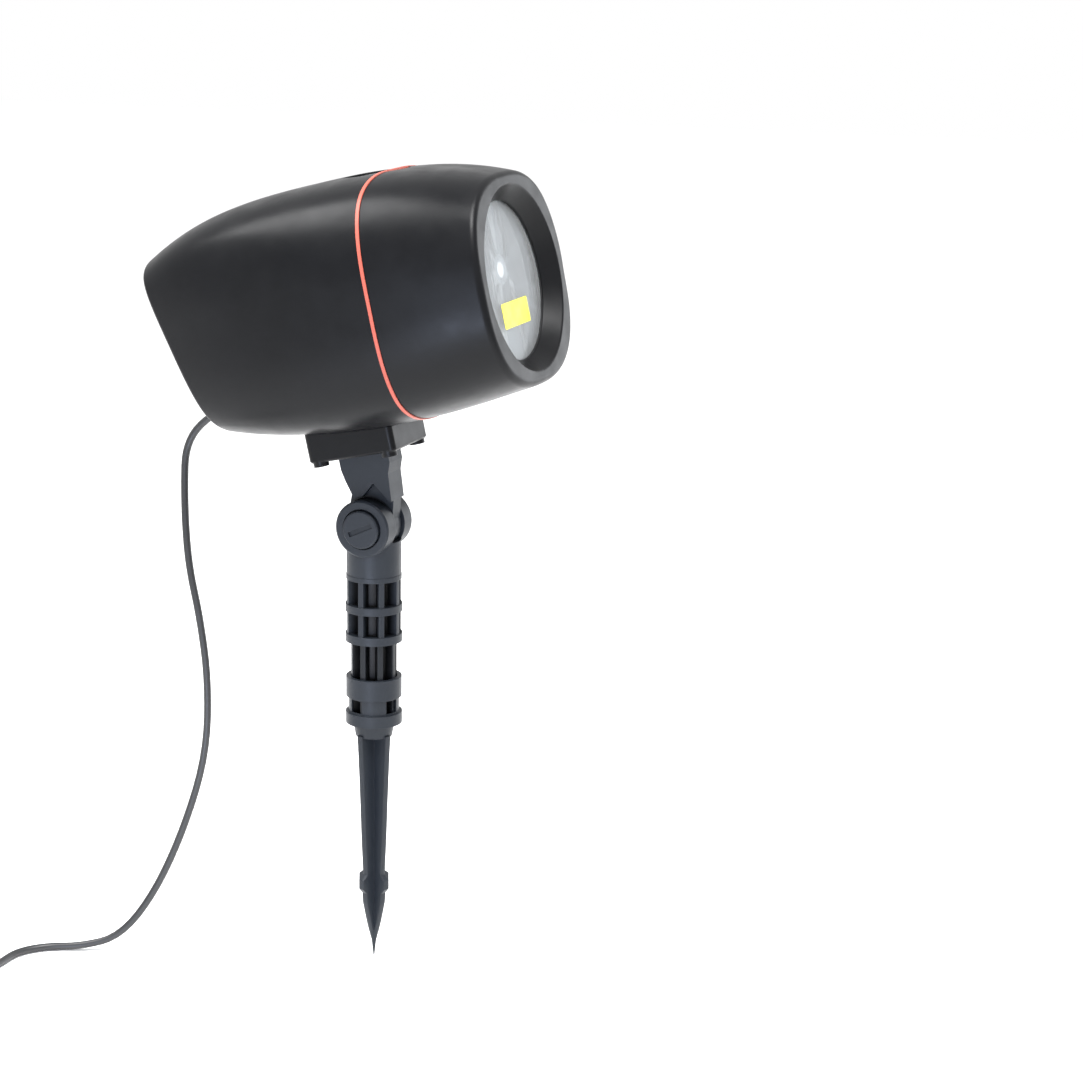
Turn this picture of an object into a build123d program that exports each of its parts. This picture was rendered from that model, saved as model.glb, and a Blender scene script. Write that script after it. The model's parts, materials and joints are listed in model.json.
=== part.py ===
from build123d import *
from functools import lru_cache
from math import cos, pi, radians, sin, tan
import os

os.makedirs("parts", exist_ok=True)

# A garden light projector on a ground stake. Millimetres, +Z up, origin at the stake's tip
# on its axis, +X the way the beam points, Y along the tilt hinge.
# The casing has its own directions: u along the beam, v to the left, w up, measured from
# the centre of the seam between the two shells.

# ---- Driving dimensions ---------------------------------------------------------------
PITCH = 12.7              # beam above the horizontal at rest, degrees
SEAM_X, SEAM_Z = 22.0, 312.4

# Casing sections: place along the beam, half height, half width, centre height, squareness.
STATIONS = [
    (-126.8, 34.4, 32.0, -1.8, 4.0),
    (-102.3, 44.0, 41.4, -0.2, 4.0),
    (-77.6, 50.4, 47.9, 0.4, 3.9),
    (-42.5, 54.3, 52.7, 0.2, 3.6),
    (-3.0, 54.4, 53.3, 0.0, 3.2),
    (26.0, 51.2, 51.2, -0.4, 2.9),
    (50.2, 46.0, 47.6, -2.2, 2.6),
]
OUTLINE_POINTS = 16
WALL = 2.6
FRONT_U = 50.2            # front face of the lip
LIP_BACK = 40.4           # where the thick lip starts
LIP_ROUND, LIP_INNER_ROUND = 3.2, 1.0
REAR_U = -107.9           # slanted back, where it crosses the centre line
REAR_LEAN = 17.7          # degrees from square to the beam
REAR_ROUND = 2.4

# Seam: coloured band on a lap of the rear shell
REAR_SEAM, FRONT_SEAM = -0.75, 0.75
BAND_PROUD, BAND_DEPTH = 0.4, 3.0
LAP_BACK, LAP_FRONT = -8.0, 4.0
LAP_INSET, LAP_T = 3.0, 1.6
HOOK_V, HOOK_W = 20.0, 50.0
HOOK_SIZE = (10.0, 2.0)
WELL_R, WELL_FLOOR = 4.5, 4.0
CASING_SCREWS = [(-28.0, -28.0), (28.0, -28.0)]
CASING_SCREW_R, CASING_SCREW_L = 1.5, 18.0
BOSS_END, BOSS_RIB = 28.0, (2.4, 19.0)

# Dusk sensor window on top, crossed by the band
SENSOR_U = -9.0
SENSOR_SIZE = (30.0, 34.0)
SENSOR_SINK, SENSOR_RIM, SENSOR_T = 0.9, 2.0, 1.4
SENSOR_LOW, SENSOR_TALL = 44.0, 14.0
CELL_W = 47.2

# Window
WINDOW_W = -1.9           # window centre below the seam centre
WINDOW_U = 42.9           # front of the gasket
WINDOW_R = 34.6
FUNNEL_R = 40.8           # recess radius at the lip
SEAT_R = 38.5
GLASS_R = 38.3
GASKET_T, GLASS_T, PLATE_T = 0.9, 2.4, 1.2
APERTURE_R = 6.5
APERTURE_W = 3.3
LENS_T = 4.0
LABEL_SIZE = (36.0, 13.5)
LABEL_W = -16.5
RETAINER_U = 35.4

# Light engine
BRACKET_U, BRACKET_T = 6.0, 2.0
BRACKET_SCREWS = [(-43.0, 0.0), (43.0, 0.0)]
SMALL_SCREW_R, SMALL_SCREW_L = 1.2, 9.0
SINK_L = 24.0
LASER_R, LASER_V = 3.0, 3.7
BOARD_U, BOARD_T = -6.0, 1.6
BOARD_SCREWS = [(v, w) for v in (-27.0, 27.0) for w in (-12.0, 12.0)]

# Mode button and its switch, on the slanted back
BUTTON_UP = 14.0
BUTTON_R, BUTTON_PROUD = 6.0, 2.5
SWITCH_DEPTH, SWITCH_BOARD_DEPTH = 6.5, 13.0
SWITCH_POST_X = 11.0

# Strain relief of the lead
GLAND_UP = -35.3
GLAND_R, GLAND_OUT = 3.2, 14.0

# Mounting shoe under the casing
SHOE_LENGTH, SHOE_WIDTH = 43.0, 37.0
SHOE_U = -40.0
SHOE_BOTTOM = -66.0
SHOE_RISE = 16.0
BOSS_R, BOSS_DROP = 3.5, 2.0
SHOE_SCREWS = [(SHOE_U + u, v) for u in (-17.0, 17.0) for v in (-15.0, 15.0)]
SHOE_SCREW_R, SHOE_SCREW_L = 1.5, 20.0
SHOE_SCREW_SINK = 1.8
SHOE_SCREW_TOP = -43.0

# Tilt hinge and neck. Neck outlines are measured from the hinge, along and above the beam.
HINGE_Z = 206.0
BARREL_R, BARREL_L = 13.0, 27.0
SLOT = 9.6                # gap between the two ears
SLOT_R, SLOT_SHOULDER = 12.1, 7.0
TONGUE_T, TONGUE_R = 8.4, 11.6
WASHER_T = 0.5
NECK_T = 14.0
NECK_OUTLINE = [
    (-7.3, 40.0), (17.1, 40.0), (17.1, 27.0), (15.2, 22.0), (14.1, 9.6), (13.0, 9.6),
    (7.0, 19.0), (0.3, 13.5), (-3.8, 13.5), (-6.3, 22.0), (-7.3, 27.0),
]
WEB_OUTLINE = [
    (-10.5, 4.0), (-5.0, 17.0), (-5.0, 24.0), (14.4, 24.0), (13.9, 9.6), (10.5, -3.0), (0.0, 0.0),
]
ROOT_SIZE, ROOT_T, ROOT_STEP = (32.0, 22.0), 7.0, 3.5
BOLT_R, BOLT_HEAD_R, BOLT_HEAD_T = 2.5, 4.6, 4.0
KNOB_R, KNOB_RECESS_R, KNOB_RECESS, KNOB_PROUD = 8.6, 9.2, 3.0, 1.8
KNOB_SLOT = (12.0, 2.2, 0.9)
INSERT_R, INSERT_L = 4.0, 3.1

# Upper post: low and high end of each step, and its radius
POST_R, RING_R, SPIGOT_R = 12.4, 12.9, 10.5
POST_STEPS = [
    (114.1, 152.0, SPIGOT_R),
    (152.0, 155.8, RING_R),
    (155.8, 166.0, POST_R),
    (166.0, 169.5, RING_R),
    (169.5, 181.0, POST_R),
    (181.0, 183.2, RING_R - 0.3),
    (183.2, HINGE_Z, POST_R),
]
# Flutes: low and high end, core radius, rib thickness
FLUTES = [
    (113.0, 152.0, 6.5, 2.6),
    (155.8, 166.0, 7.5, 2.6),
    (169.5, 181.0, 7.5, 2.6),
]
RIBS, RIB_TURN = 8, -4.5

# Ground stake: socket and blade outlines, radius and height
SOCKET_R, SOCKET_FLOOR = 10.58, 114.0
SOCKET_OUTLINE = [
    (0.0, 107.0), (8.4, 107.0), (9.6, 113.5), (12.9, 113.5), (12.9, 118.8), (11.5, 118.8),
    (11.5, 126.0), (12.7, 126.0), (12.7, 135.4), (0.0, 135.4),
]
BLADE_OUTLINE = [
    (0.0, 0.0), (0.3, 0.0), (1.05, 6.9), (3.6, 16.8), (5.9, 26.7), (6.3, 31.6), (8.3, 34.0),
    (8.3, 38.4), (5.8, 40.4), (6.8, 58.0), (7.55, 75.4), (8.4, 92.8), (9.3, 108.0), (0.0, 108.0),
]
BLADE_TURN, BLADE_T = -20.5, 3.0
PORT_LOW, PORT_TALL, PORT_WIDTH = 119.4, 6.0, 6.2

# Lead: a route down from the gland to the ground, then a flat coil
CORD_R = 1.75
COIL_CENTRE = (-179.0, -115.0)
COIL_MID_R = 19.8
COIL_WIDTH, COIL_HEIGHT = 21.1, 14.1
COIL_ENTRY_R = 28.6       # the outermost turn, which both ends leave
COIL_EXIT_Z, COIL_EXIT_L = 5.3, 36.0
TUBE_END_Y = -84.0
CONNECTOR_R, CONNECTOR_L = 5.2, 36.0
TIP_R, TIP_L = 2.75, 10.0

# ---- Directions and planes of the casing ----------------------------------------------
BEAM = Vector(cos(radians(PITCH)), 0, sin(radians(PITCH)))
RISE = Vector(-sin(radians(PITCH)), 0, cos(radians(PITCH)))
INWARD = BEAM * cos(radians(REAR_LEAN)) + RISE * sin(radians(REAR_LEAN))
HINGE_U = (Vector(0, 0, HINGE_Z) - Vector(SEAM_X, 0, SEAM_Z)).dot(BEAM)
HINGE_W = (Vector(0, 0, HINGE_Z) - Vector(SEAM_X, 0, SEAM_Z)).dot(RISE)
ALONG_BEAM = Axis((0, 0, 0), tuple(BEAM))
ALONG_RISE = Axis((0, 0, 0), tuple(RISE))
ALONG_INWARD = Axis((0, 0, 0), tuple(INWARD))


def head_point(u, v, w):
    """A point of the casing, from its place along, across and above the beam."""
    return Vector(SEAM_X, v, SEAM_Z) + BEAM * u + RISE * w


def across(u, v=0, w=0):
    """Plane square to the beam: its x is v and its y is w."""
    return Plane(origin=head_point(u, v, w), x_dir=(0, 1, 0), z_dir=BEAM)


def beside(v):
    """Plane along the beam, standing up: its x is u and its y is w. It faces -Y."""
    return Plane(origin=head_point(0, v, 0), x_dir=BEAM, z_dir=(0, -1, 0))


def above(w, u=0, v=0):
    """Plane along the beam, lying flat: its x is u and its y is v."""
    return Plane(origin=head_point(u, v, w), x_dir=BEAM, z_dir=RISE)


def back(depth, up=0):
    """Plane of the slanted back, a depth inside it. It faces into the casing."""
    climb = RISE * cos(radians(REAR_LEAN)) - BEAM * sin(radians(REAR_LEAN))
    origin = head_point(REAR_U, 0, 0) + INWARD * depth + climb * up
    return Plane(origin=origin, x_dir=(0, 1, 0), z_dir=INWARD)


def hinge_plane(y):
    """Plane square to the tilt hinge, facing -Y."""
    return Plane(origin=(0, y, HINGE_Z), x_dir=(1, 0, 0), z_dir=(0, -1, 0))


def save(piece, name):
    piece.part.label = name
    export_step(piece.part, f"parts/{name}.step")


def screw_set(planes, shank_r, shank_l, head_r, head_t):
    """Pan-head screws with a cross recess, each seated on a plane facing along its shank."""
    with BuildPart() as screws:
        for seat in planes:
            with BuildSketch(seat):
                Circle(shank_r)
            extrude(amount=shank_l)
            with BuildSketch(seat):
                Circle(head_r)
            extrude(amount=-head_t)
            with BuildSketch(seat.offset(-head_t)):
                Rectangle(head_r * 1.2, head_r * 0.28)
                Rectangle(head_r * 0.28, head_r * 1.2)
            extrude(amount=head_t * 0.5, mode=Mode.SUBTRACT)
    return screws


# ---- Casing forms ---------------------------------------------------------------------
def casing_outline(half_height, half_width, centre, power, inset):
    """Rounded square, as points at even angles round its centre."""
    high = half_height - inset
    wide = half_width - inset
    points = []
    for step in range(OUTLINE_POINTS):
        turn = 2 * pi * step / OUTLINE_POINTS
        reach = (abs(cos(turn) / wide) ** power + abs(sin(turn) / high) ** power) ** (-1 / power)
        points.append((reach * cos(turn), centre + reach * sin(turn)))
    return points


@lru_cache
def casing_form(inset):
    """The casing's whole outer shape, drawn in by an inset."""
    with BuildPart() as form:
        for u, *section in STATIONS:
            with BuildSketch(across(u)):
                with BuildLine():
                    Spline(*casing_outline(*section, inset), periodic=True)
                make_face()
        loft()
    return form.part


def casing_slice(inset, u_from, u_to):
    """The part of a casing form between two places along the beam."""
    with BuildPart() as piece:
        add(casing_form(inset))
        split(bisect_by=across(u_from), keep=Keep.TOP)
        split(bisect_by=across(u_to), keep=Keep.BOTTOM)
    return piece.part


def rear_form(inset):
    """The part of a casing form between the slanted back and the seam."""
    with BuildPart() as piece:
        add(casing_form(inset))
        split(bisect_by=across(REAR_SEAM), keep=Keep.BOTTOM)
        split(bisect_by=back(inset), keep=Keep.TOP)
    return piece.part


def oval_prism(grow):
    """Upright oval prism through the casing's top, for the dusk sensor window."""
    with BuildPart() as prism:
        with BuildSketch(above(SENSOR_LOW, SENSOR_U)):
            Ellipse(SENSOR_SIZE[0] / 2 + grow, SENSOR_SIZE[1] / 2 + grow)
        extrude(amount=SENSOR_TALL)
    return prism.part


def oval_slice(grow, inset):
    """The oval prism below a casing form."""
    with BuildPart() as piece:
        add(oval_prism(grow))
        add(casing_form(inset), mode=Mode.INTERSECT)
    return piece.part


sensor_hole = oval_prism(0)

# ---- Rear shell: tapered half with the slanted back ------------------------------------
with BuildPart() as rear_blank:
    add(rear_form(0))
    fillet(rear_blank.faces().sort_by(ALONG_INWARD)[0].edges(), REAR_ROUND)

with BuildPart() as seam_lap:
    add(casing_slice(WALL - 0.3, LAP_BACK, REAR_SEAM - 0.4))
    add(casing_slice(LAP_INSET, LAP_BACK, LAP_FRONT))
    add(casing_form(LAP_INSET + LAP_T), mode=Mode.SUBTRACT)
    with BuildSketch(across(LAP_FRONT - 2)):
        with Locations((-HOOK_V, HOOK_W), (HOOK_V, HOOK_W)):
            Rectangle(*HOOK_SIZE)
    extrude(amount=2)
    add(oval_prism(SENSOR_RIM + 0.4), mode=Mode.SUBTRACT)

with BuildPart() as rear_bosses:
    with BuildSketch(across(LAP_BACK)):
        with Locations(*CASING_SCREWS):
            Circle(WELL_R)
    extrude(amount=STATIONS[0][0] - LAP_BACK)
    with BuildSketch(above(SHOE_SCREW_TOP)):
        with Locations(*SHOE_SCREWS):
            Circle(4.0)
    extrude(amount=-SHOE_RISE)
    with BuildSketch(back(WALL - 0.2, BUTTON_UP)):
        with Locations((-SWITCH_POST_X, 0), (SWITCH_POST_X, 0)):
            Circle(2.8)
    extrude(amount=SWITCH_BOARD_DEPTH - WALL + 0.2)
    add(rear_blank.part, mode=Mode.INTERSECT)

with BuildPart() as rear_shell:
    add(rear_blank.part)
    add(rear_form(WALL), mode=Mode.SUBTRACT)
    add(seam_lap.part)
    add(rear_bosses.part)
    add(sensor_hole, mode=Mode.SUBTRACT)
    with BuildSketch(across(LAP_BACK - WELL_FLOOR)):
        with Locations(*CASING_SCREWS):
            Circle(WELL_R - 1.2)
    extrude(amount=STATIONS[0][0] - LAP_BACK, mode=Mode.SUBTRACT)
    with BuildSketch(across(LAP_BACK + 1)):
        with Locations(*CASING_SCREWS):
            Circle(CASING_SCREW_R + 0.15)
    extrude(amount=-WELL_FLOOR - 2, mode=Mode.SUBTRACT)
    with BuildSketch(above(SHOE_SCREW_TOP - 1.5)):
        with Locations(*SHOE_SCREWS):
            Circle(SHOE_SCREW_R + 0.05)
    extrude(amount=-SHOE_RISE, mode=Mode.SUBTRACT)
    with BuildSketch(back(-3, BUTTON_UP)):
        Circle(BUTTON_R + 0.3)
    extrude(amount=WALL + 3.1, mode=Mode.SUBTRACT)
    with BuildSketch(back(-3, GLAND_UP)):
        Circle(GLAND_R + 0.05)
    extrude(amount=WALL + 3.1, mode=Mode.SUBTRACT)
save(rear_shell, "rear_shell")

# ---- Front shell: barrel with a thick rounded lip and a funnel-shaped recess -----------
with BuildPart() as front_blank:
    add(casing_form(0))
    split(bisect_by=across(FRONT_SEAM), keep=Keep.TOP)
    fillet(front_blank.faces().sort_by(ALONG_BEAM)[-1].edges(), LIP_ROUND)

with BuildPart() as front_shell:
    add(front_blank.part)
    add(casing_slice(WALL, FRONT_SEAM - 1, LIP_BACK), mode=Mode.SUBTRACT)
    with BuildSketch(across(LAP_BACK + 0.3)):
        with Locations(*CASING_SCREWS):
            Circle(4.0)
    extrude(amount=BOSS_END - LAP_BACK)
    with BuildSketch(across(LAP_FRONT + 0.5)):
        with Locations(*[(v, w - BOSS_RIB[1] / 2) for v, w in CASING_SCREWS]):
            Rectangle(*BOSS_RIB)
    extrude(amount=BOSS_END - LAP_FRONT - 0.5)
    with BuildSketch(across(BRACKET_U + BRACKET_T)):
        with Locations(*BRACKET_SCREWS):
            Circle(3.4)
    extrude(amount=LIP_BACK - BRACKET_U - BRACKET_T + 0.3)
    with BuildSketch(across(RETAINER_U - 2, 0, WINDOW_W)):
        Circle(SEAT_R + 2.5)
    extrude(amount=LIP_BACK - RETAINER_U + 2.5)
    with BuildSketch(across(RETAINER_U - 6, 0, WINDOW_W)):
        Circle(SEAT_R)
    extrude(amount=WINDOW_U - RETAINER_U + 6, mode=Mode.SUBTRACT)
    with BuildSketch(across(WINDOW_U - 0.1, 0, WINDOW_W)):
        Circle(WINDOW_R)
    with BuildSketch(across(FRONT_U, 0, WINDOW_W)):
        Circle(FUNNEL_R)
    loft(mode=Mode.SUBTRACT)
    mouth = front_shell.faces().sort_by(ALONG_BEAM)[-1].inner_wires()[0]
    fillet(mouth.edges(), LIP_INNER_ROUND)
    with BuildSketch(across(LAP_BACK)):
        with Locations(*CASING_SCREWS):
            Circle(CASING_SCREW_R + 0.05)
    extrude(amount=CASING_SCREW_L + 2, mode=Mode.SUBTRACT)
    with BuildSketch(across(BRACKET_U)):
        with Locations(*BRACKET_SCREWS):
            Circle(SMALL_SCREW_R + 0.05)
    extrude(amount=SMALL_SCREW_L + 2, mode=Mode.SUBTRACT)
    with BuildSketch(across(LAP_FRONT - 2.3)):
        with Locations((-HOOK_V, HOOK_W), (HOOK_V, HOOK_W)):
            Rectangle(HOOK_SIZE[0] + 0.6, HOOK_SIZE[1] + 0.6)
    extrude(amount=2.6, mode=Mode.SUBTRACT)
    add(sensor_hole, mode=Mode.SUBTRACT)
save(front_shell, "front_shell")

# ---- Seam band and dusk sensor ---------------------------------------------------------
with BuildPart() as seam_band:
    add(casing_slice(-BAND_PROUD, REAR_SEAM, FRONT_SEAM))
    add(casing_form(BAND_DEPTH), mode=Mode.SUBTRACT)
    add(oval_slice(SENSOR_RIM + 0.3, SENSOR_SINK - 0.05), mode=Mode.SUBTRACT)
save(seam_band, "seam_band")

with BuildPart() as sensor_window:
    add(oval_slice(-0.2, SENSOR_SINK))
    add(oval_slice(SENSOR_RIM, WALL + 0.05))
    add(casing_form(WALL + SENSOR_T), mode=Mode.SUBTRACT)
    with BuildSketch(above(CELL_W, SENSOR_U)):
        with Locations((-8.5, 0), (8.5, 0)):
            Circle(1.5)
    extrude(amount=4)
save(sensor_window, "sensor_window")

with BuildPart() as photocell:
    with BuildSketch(above(CELL_W, SENSOR_U)):
        Circle(2.6)
    extrude(amount=2)
    with BuildSketch(above(CELL_W + 2, SENSOR_U)):
        Circle(2.2)
    extrude(amount=0.8)
save(photocell, "photocell")

with BuildPart() as sensor_board:
    with BuildSketch(above(CELL_W - 1.2, SENSOR_U)):
        RectangleRounded(22, 12, 1)
    extrude(amount=1.2)
save(sensor_board, "sensor_board")

# ---- Window stack, from the recess inwards ---------------------------------------------
GLASS_U = WINDOW_U - GASKET_T
PLATE_U = GLASS_U - GLASS_T

with BuildPart() as window_gasket:
    with BuildSketch(across(GLASS_U, 0, WINDOW_W)):
        Circle(GLASS_R)
        Circle(WINDOW_R + 0.2, mode=Mode.SUBTRACT)
    extrude(amount=GASKET_T)
save(window_gasket, "window_gasket")

with BuildPart() as window_glass:
    with BuildSketch(across(PLATE_U, 0, WINDOW_W)):
        Circle(GLASS_R)
    extrude(amount=GLASS_T)
save(window_glass, "window_glass")

with BuildPart() as window_label:
    with BuildSketch(across(GLASS_U, 0, LABEL_W)):
        RectangleRounded(*LABEL_SIZE, 1)
    extrude(amount=0.15)
save(window_label, "window_label")

with BuildPart() as backing_plate:
    with BuildSketch(across(PLATE_U - PLATE_T, 0, WINDOW_W)):
        Circle(GLASS_R)
        with Locations((0, APERTURE_W - WINDOW_W)):
            Circle(APERTURE_R, mode=Mode.SUBTRACT)
    extrude(amount=PLATE_T)
save(backing_plate, "backing_plate")

with BuildPart() as aperture_lens:
    with BuildSketch(across(PLATE_U - LENS_T, 0, APERTURE_W)):
        Circle(APERTURE_R - 0.1)
    extrude(amount=LENS_T)
    with BuildSketch(across(PLATE_U - LENS_T, 0, APERTURE_W)):
        Circle(APERTURE_R + 1.5)
    extrude(amount=LENS_T - PLATE_T)
save(aperture_lens, "aperture_lens")

with BuildPart() as retaining_ring:
    with BuildSketch(across(RETAINER_U, 0, WINDOW_W)):
        Circle(GLASS_R)
        Circle(GLASS_R - 4, mode=Mode.SUBTRACT)
        with PolarLocations(GLASS_R - 4, 3, start_angle=30):
            Circle(2.2, mode=Mode.SUBTRACT)
    extrude(amount=PLATE_U - PLATE_T - RETAINER_U)
save(retaining_ring, "retaining_ring")

# ---- Light engine: bracket, heat sink, two laser barrels, grating ----------------------
SINK_U = BRACKET_U + BRACKET_T
GRATING_U = SINK_U + SINK_L
LASER_PLACES = {"green_laser": (-LASER_V, APERTURE_W), "red_laser": (LASER_V, APERTURE_W)}

with BuildPart() as laser_bracket:
    with BuildSketch(across(BRACKET_U)):
        RectangleRounded(2 * BRACKET_SCREWS[1][0] + 5, 36, 4)
    extrude(amount=BRACKET_T)
    with BuildSketch(across(BOARD_U + BOARD_T)):
        with Locations(*BOARD_SCREWS):
            Circle(2.6)
    extrude(amount=BRACKET_U - BOARD_U - BOARD_T)
    with BuildSketch(across(BRACKET_U)):
        with Locations(*BRACKET_SCREWS):
            Circle(SMALL_SCREW_R + 0.15)
        with Locations(*LASER_PLACES.values()):
            Circle(LASER_R + 0.3)
    extrude(amount=BRACKET_T, mode=Mode.SUBTRACT)
    with BuildSketch(across(BOARD_U + BOARD_T)):
        with Locations(*BOARD_SCREWS):
            Circle(SMALL_SCREW_R + 0.05)
    extrude(amount=BRACKET_U - BOARD_U, mode=Mode.SUBTRACT)
save(laser_bracket, "laser_bracket")

with BuildPart() as heat_sink:
    with BuildSketch(across(SINK_U, 0, APERTURE_W)):
        RectangleRounded(34, 27, 1.5)
        with GridLocations(4.6, 22, 7, 2):
            Rectangle(2.2, 7, mode=Mode.SUBTRACT)
    extrude(amount=SINK_L)
    with BuildSketch(across(SINK_U)):
        with Locations(*LASER_PLACES.values()):
            Circle(LASER_R + 0.05)
    extrude(amount=SINK_L, mode=Mode.SUBTRACT)
save(heat_sink, "heat_sink")

for name, place in LASER_PLACES.items():
    with BuildPart() as laser:
        with BuildSketch(across(BRACKET_U - 2, *place)):
            Circle(LASER_R)
        extrude(amount=SINK_L + BRACKET_T + 1.8)
        with BuildSketch(across(BRACKET_U - 4, *place)):
            Circle(LASER_R - 0.8)
        extrude(amount=2)
        with BuildSketch(across(GRATING_U - 0.2, *place)):
            Circle(1.4)
        extrude(amount=-1.5, mode=Mode.SUBTRACT)
    save(laser, name)

with BuildPart() as grating_frame:
    with BuildSketch(across(GRATING_U, 0, APERTURE_W)):
        RectangleRounded(24, 15, 1.5)
        Rectangle(17, 8, mode=Mode.SUBTRACT)
    extrude(amount=2.2)
    with BuildSketch(across(GRATING_U + 1, 0, APERTURE_W)):
        Rectangle(20, 11)
    extrude(amount=1.2, mode=Mode.SUBTRACT)
save(grating_frame, "grating_frame")

with BuildPart() as star_grating:
    with BuildSketch(across(GRATING_U + 1, 0, APERTURE_W)):
        Rectangle(19.8, 10.8)
    extrude(amount=1)
save(star_grating, "star_grating")

bracket_screws = screw_set(
    [across(BRACKET_U, *place) for place in BRACKET_SCREWS],
    SMALL_SCREW_R, SMALL_SCREW_L, 2.6, 1.6)
save(bracket_screws, "bracket_screws")

casing_screws = screw_set(
    [across(LAP_BACK - WELL_FLOOR, *place) for place in CASING_SCREWS],
    CASING_SCREW_R, CASING_SCREW_L, 3.0, 2.2)
save(casing_screws, "casing_screws")

# ---- Driver board and its components ---------------------------------------------------
with BuildPart() as driver_board:
    with BuildSketch(across(BOARD_U)):
        RectangleRounded(62, 33, 2)
        with Locations(*BOARD_SCREWS):
            Circle(SMALL_SCREW_R + 0.15, mode=Mode.SUBTRACT)
    extrude(amount=BOARD_T)
save(driver_board, "driver_board")

with BuildPart() as board_parts:
    with BuildSketch(across(BOARD_U)):
        with Locations((-15, 6), (-15, -5)):
            Circle(4.2)
    extrude(amount=-11)
    with BuildSketch(across(BOARD_U)):
        with Locations((0, 6)):
            RectangleRounded(9, 7, 0.6)
        with Locations((14, -6)):
            RectangleRounded(7, 7, 0.6)
    extrude(amount=-2.4)
    with BuildSketch(across(BOARD_U)):
        with Locations((0, -9)):
            Rectangle(10, 5)
    extrude(amount=-6)
    with BuildSketch(across(BOARD_U)):
        with Locations((14, 6)):
            Circle(5)
            Circle(2, mode=Mode.SUBTRACT)
    extrude(amount=-5)
save(board_parts, "board_parts")

board_screws = screw_set(
    [across(BOARD_U, *place) for place in BOARD_SCREWS],
    SMALL_SCREW_R, BOARD_T + 3.5, 2.2, 1.5)
save(board_screws, "board_screws")

# ---- Mode button on the slanted back, with its switch ----------------------------------
with BuildPart() as mode_button:
    with BuildSketch(back(-BUTTON_PROUD, BUTTON_UP)):
        Circle(BUTTON_R)
    extrude(amount=BUTTON_PROUD + WALL + 0.3)
    fillet(mode_button.edges().sort_by(ALONG_INWARD)[0], 1.0)
    with BuildSketch(back(WALL + 0.1, BUTTON_UP)):
        Circle(BUTTON_R + 1.6)
    extrude(amount=1.2)
    with BuildSketch(back(WALL + 1.3, BUTTON_UP)):
        Circle(2.0)
    extrude(amount=SWITCH_DEPTH + 1.5 - WALL - 1.3)
save(mode_button, "mode_button")

with BuildPart() as mode_switch:
    with BuildSketch(back(SWITCH_DEPTH, BUTTON_UP)):
        RectangleRounded(12, 12, 0.8)
    extrude(amount=SWITCH_BOARD_DEPTH - SWITCH_DEPTH)
    with BuildSketch(back(SWITCH_DEPTH, BUTTON_UP)):
        Circle(2.3)
    extrude(amount=4, mode=Mode.SUBTRACT)
save(mode_switch, "mode_switch")

with BuildPart() as switch_board:
    with BuildSketch(back(SWITCH_BOARD_DEPTH, BUTTON_UP)):
        RectangleRounded(2 * SWITCH_POST_X + 8, 16, 1.5)
    extrude(amount=1.6)
save(switch_board, "switch_board")

# ---- Strain relief of the lead ---------------------------------------------------------
with BuildPart() as cord_gland:
    with BuildSketch(back(WALL, GLAND_UP)):
        Circle(GLAND_R + 1.8)
    extrude(amount=2)
    with BuildSketch(back(WALL, GLAND_UP)):
        Circle(GLAND_R)
    extrude(amount=-WALL)
    with BuildSketch(back(0, GLAND_UP)):
        Circle(GLAND_R + 1)
    with BuildSketch(back(-GLAND_OUT, GLAND_UP)):
        Circle(CORD_R + 0.5)
    loft()
save(cord_gland, "cord_gland")

# ---- Mounting shoe under the casing, and its screws ------------------------------------
with BuildPart() as mount_shoe:
    with BuildSketch(above(SHOE_BOTTOM, SHOE_U)):
        RectangleRounded(SHOE_LENGTH, SHOE_WIDTH, 2.5)
    extrude(amount=SHOE_RISE)
    chamfer(mount_shoe.faces().sort_by(ALONG_RISE)[0].edges(), 0.8)
    add(rear_blank.part, mode=Mode.SUBTRACT)
    with BuildSketch(above(SHOE_BOTTOM + 1)):
        with Locations(*SHOE_SCREWS):
            Circle(BOSS_R)
    extrude(amount=-BOSS_DROP - 1)
    with BuildSketch(above(SHOE_BOTTOM + ROOT_STEP, SHOE_U)):
        Rectangle(ROOT_SIZE[0] + 0.4, ROOT_SIZE[1] + 0.4)
    extrude(amount=SHOE_RISE, mode=Mode.SUBTRACT)
    with BuildSketch(above(SHOE_BOTTOM - 0.1, SHOE_U)):
        Rectangle(NECK_OUTLINE[1][0] - NECK_OUTLINE[0][0] + 0.4, NECK_T + 0.4)
    extrude(amount=SHOE_RISE, mode=Mode.SUBTRACT)
    with BuildSketch(above(SHOE_BOTTOM - BOSS_DROP)):
        with Locations(*SHOE_SCREWS):
            Circle(SHOE_SCREW_R + 0.15)
    extrude(amount=SHOE_RISE + BOSS_DROP, mode=Mode.SUBTRACT)
    with BuildSketch(above(SHOE_BOTTOM - BOSS_DROP)):
        with Locations(*SHOE_SCREWS):
            Circle(2.9)
    extrude(amount=SHOE_SCREW_SINK, mode=Mode.SUBTRACT)
save(mount_shoe, "mount_shoe")

shoe_screws = screw_set(
    [above(SHOE_BOTTOM - BOSS_DROP + SHOE_SCREW_SINK, *place) for place in SHOE_SCREWS],
    SHOE_SCREW_R, SHOE_SCREW_L, 2.7, 1.5)
save(shoe_screws, "shoe_screws")

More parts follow.
